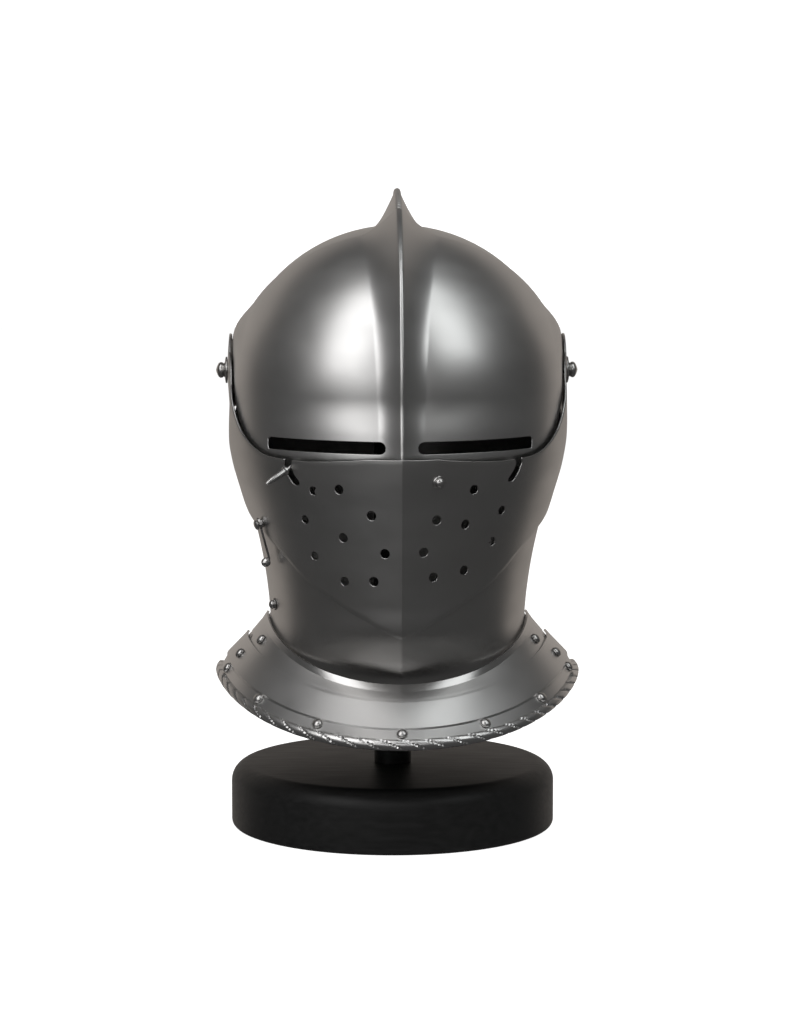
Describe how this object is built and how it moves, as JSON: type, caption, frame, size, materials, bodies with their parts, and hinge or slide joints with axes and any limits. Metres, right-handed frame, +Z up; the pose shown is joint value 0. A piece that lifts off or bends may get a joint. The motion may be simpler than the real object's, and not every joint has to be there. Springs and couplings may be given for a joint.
{
  "type": "close helmet on display stand",
  "caption": "Steel close helmet with a tall roped comb, pivoted visor, ventail and bevor and a roped neck guard, on a round black display stand.",
  "frame": {"origin": "underside of the stand's disc, under the middle of the helmet", "axes": "+Z up, the helmet faces -Y, +X to the right in a view from the front"},
  "size_m": [0.2416, 0.2788, 0.424],
  "materials": {
    "steel": "polished",
    "dark_steel": "polished, darker",
    "black_wood": "satin black"
  },
  "bodies": {
    "skull_on_stand": {"skull": "steel", "nape_lame": "steel", "back_collar": "steel", "stand_base": "black_wood", "stand_post": "black_wood", "pivot_bolt_left": "steel", "pivot_bolt_right": "steel", "back_rivet_right_0": "steel", "back_rivet_left_24": "steel", "back_rivet_left_48": "steel", "back_rivet_left_76": "steel", "back_rivet_right_24": "steel", "back_rivet_right_48": "steel", "back_rivet_right_76": "steel"},
    "bevor": {"bevor": "dark_steel", "throat_lame": "steel", "front_collar": "steel", "throat_stud": "steel", "front_rivet_right_0": "steel", "front_rivet_left_24": "steel", "front_rivet_left_48": "steel", "front_rivet_left_76": "steel", "front_rivet_right_24": "steel", "front_rivet_right_48": "steel", "front_rivet_right_76": "steel", "throat_rivet_left": "steel", "throat_rivet_right": "steel", "front_side_rivet_left": "steel", "front_side_rivet_right": "steel"},
    "ventail": {"ventail": "dark_steel", "spring_stud": "steel", "hook_stud": "steel"},
    "visor": {"visor": "steel", "lifting_peg": "steel", "sight_stud": "steel"},
    "swivel_hook": {"swivel_hook": "steel"}
  },
  "joints": [
    {"name": "bevor_pivot", "type": "hinge", "parent": "skull_on_stand", "child": "bevor", "pos_m": [0, 0, 0.305], "axis": [-1, 0, 0], "range_deg": [0, 40]},
    {"name": "ventail_pivot", "type": "hinge", "parent": "bevor", "child": "ventail", "pos_m": [0, 0, 0.305], "axis": [-1, 0, 0], "range_deg": [0, 35]},
    {"name": "visor_pivot", "type": "hinge", "parent": "ventail", "child": "visor", "pos_m": [0, 0, 0.305], "axis": [-1, 0, 0], "range_deg": [0, 45]},
    {"name": "swivel_hook_pivot", "type": "hinge", "parent": "ventail", "child": "swivel_hook", "pos_m": [-0.08862, -0.06666, 0.2104], "axis": [-0.8957, -0.3523, -0.2712], "range_deg": [-35, 70]}
  ]
}
